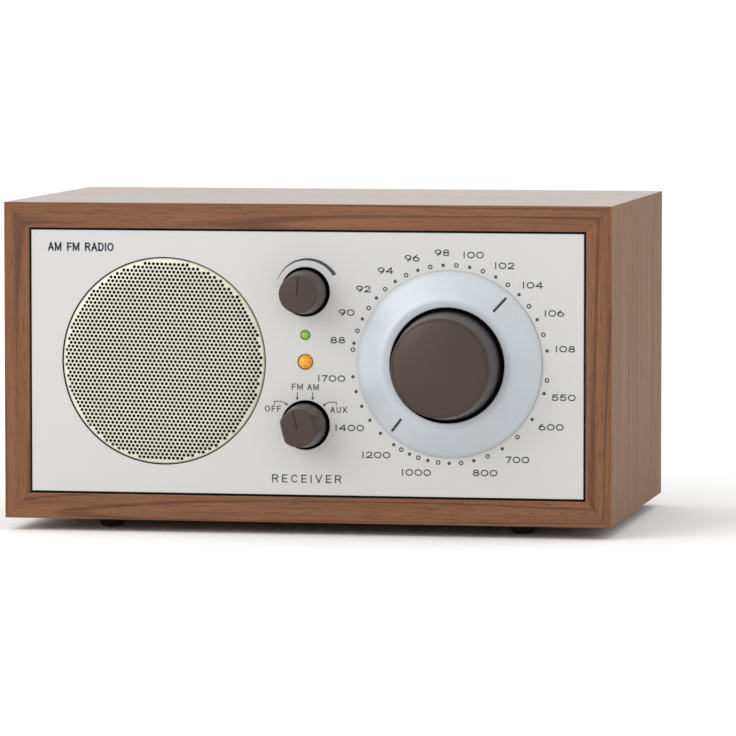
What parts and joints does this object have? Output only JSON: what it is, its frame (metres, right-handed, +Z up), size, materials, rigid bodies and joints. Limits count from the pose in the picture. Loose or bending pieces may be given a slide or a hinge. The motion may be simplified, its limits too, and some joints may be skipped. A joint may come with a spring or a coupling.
{
  "type": "tabletop radio",
  "caption": "Tabletop radio in a mitred wooden cabinet, with a round perforated speaker grille, a geared tuning dial with a turning pointer ring, and volume and function knobs.",
  "frame": {"origin": "under the middle of the radio, on the plane its feet stand on", "axes": "+Z up, +Y towards the back, so the dial faces -Y, +X to the right of someone facing the dial"},
  "size_m": [0.2126, 0.1554, 0.1143],
  "materials": {
    "walnut": "oiled walnut veneer, satin",
    "glue_block_wood": "planed softwood",
    "foot_rubber": "matte",
    "panel_white": "satin off-white",
    "black_board": "black painted fibreboard",
    "black_plastic": "fine texture",
    "zinc_steel": "zinc plated",
    "grille_metal": "cream satin paint",
    "foam": "dense foam",
    "surround_rubber": "soft, matte",
    "cone_paper": "treated paper",
    "coil_copper": "enamelled copper",
    "spider_cloth": "resin-dipped cloth",
    "ferrite": "sintered, matte",
    "lead_plastic": "soft sleeve",
    "knob_taupe": "satin soft touch",
    "ring_pearl": "pearl satin",
    "brass": "turned",
    "circuit_green": "solder mask",
    "lamp_green": "diffused lens",
    "lamp_amber": "diffused lens",
    "switch_paxolin": "laminate",
    "aluminium_black": "black anodised",
    "core_steel": "varnished laminations",
    "nickel": "nickel plated",
    "red_plastic": "moulded",
    "holder_nylon": "moulded nylon"
  },
  "bodies": {
    "cabinet": {"cabinet_top": "walnut", "cabinet_bottom": "walnut", "cabinet_left": "walnut", "cabinet_right": "walnut", "corner_blocks": "glue_block_wood", "feet": "foot_rubber", "front_panel": "panel_white", "baffle": "black_board", "baffle_screws": "zinc_steel", "rear_panel": "black_plastic", "rear_screws": "zinc_steel", "bass_port": "black_plastic", "grille": "grille_metal", "speaker_gasket": "foam", "speaker_frame": "zinc_steel", "speaker_surround": "surround_rubber", "spider": "spider_cloth", "speaker_magnet": "ferrite", "pole_pieces": "zinc_steel", "speaker_screws": "zinc_steel", "speaker_lead": "lead_plastic", "drive_housing": "zinc_steel", "capacitor_frame": "zinc_steel", "volume_pot": "zinc_steel", "function_switch": "switch_paxolin", "control_nuts": "nickel", "control_bracket": "zinc_steel", "control_board": "circuit_green", "chassis_screws": "zinc_steel", "power_led": "lamp_green", "tuning_led": "lamp_amber", "main_board": "circuit_green", "board_standoffs": "brass", "heat_sink": "aluminium_black", "transformer": "core_steel", "ferrite_antenna": "ferrite", "rod_holders": "holder_nylon", "antenna_socket": "nickel", "antenna_switch": "zinc_steel", "terminal_block": "black_plastic", "audio_jacks": "black_plastic", "power_sockets": "black_plastic"},
    "tuning_control": {"tuning_knob": "knob_taupe", "tuning_shaft": "brass"},
    "dial": {"dial_ring": "ring_pearl", "dial_pointers": "knob_taupe", "dial_hub": "black_plastic", "ball_cage": "brass", "drive_balls": "nickel", "capacitor_rotor": "brass"},
    "volume_control": {"volume_knob": "knob_taupe", "volume_shaft": "brass"},
    "function_control": {"function_knob": "knob_taupe", "function_shaft": "brass"},
    "cone_assembly": {"speaker_cone": "cone_paper", "dust_cap": "cone_paper", "voice_coil": "coil_copper"},
    "antenna_slider": {"switch_slider": "black_plastic"},
    "terminal_left": {"terminal_button_left": "black_plastic"},
    "terminal_right": {"terminal_button_right": "red_plastic"}
  },
  "joints": [
    {"name": "tuning_turn", "type": "hinge", "parent": "cabinet", "child": "tuning_control", "pos_m": [0.05042, -0.0557, 0.05967], "axis": [0, 1, 0], "range_deg": [-611, 208]},
    {"name": "dial_turn", "type": "hinge", "parent": "cabinet", "child": "dial", "pos_m": [0.05042, -0.0557, 0.05967], "axis": [0, 1, 0], "range_deg": [-123, 43]},
    {"name": "volume_turn", "type": "hinge", "parent": "cabinet", "child": "volume_control", "pos_m": [0, -0.0557, 0.08407], "axis": [0, 1, 0], "range_deg": [-155, 145]},
    {"name": "function_turn", "type": "hinge", "parent": "cabinet", "child": "function_control", "pos_m": [0, -0.0557, 0.03807], "axis": [0, 1, 0], "range_deg": [-30, 60]},
    {"name": "cone_travel", "type": "slide", "parent": "cabinet", "child": "cone_assembly", "axis": [0, 1, 0], "range_m": [-0.0012, 0.0012], "stiffness_N_per_m": 600, "deforming": ["speaker_surround", "spider"]},
    {"name": "antenna_switch_slide", "type": "slide", "parent": "cabinet", "child": "antenna_slider", "axis": [1, 0, 0], "range_m": [0, 0.004]},
    {"name": "terminal_left_press", "type": "slide", "parent": "cabinet", "child": "terminal_left", "axis": [0, -1, 0], "range_m": [0, 0.002], "stiffness_N_per_m": 400, "springref_m": -0.001},
    {"name": "terminal_right_press", "type": "slide", "parent": "cabinet", "child": "terminal_right", "axis": [0, -1, 0], "range_m": [0, 0.002], "stiffness_N_per_m": 400, "springref_m": -0.001}
  ],
  "couplings": [
    {"joint": "dial_turn", "follows": "tuning_turn", "ratio": 0.2}
  ]
}
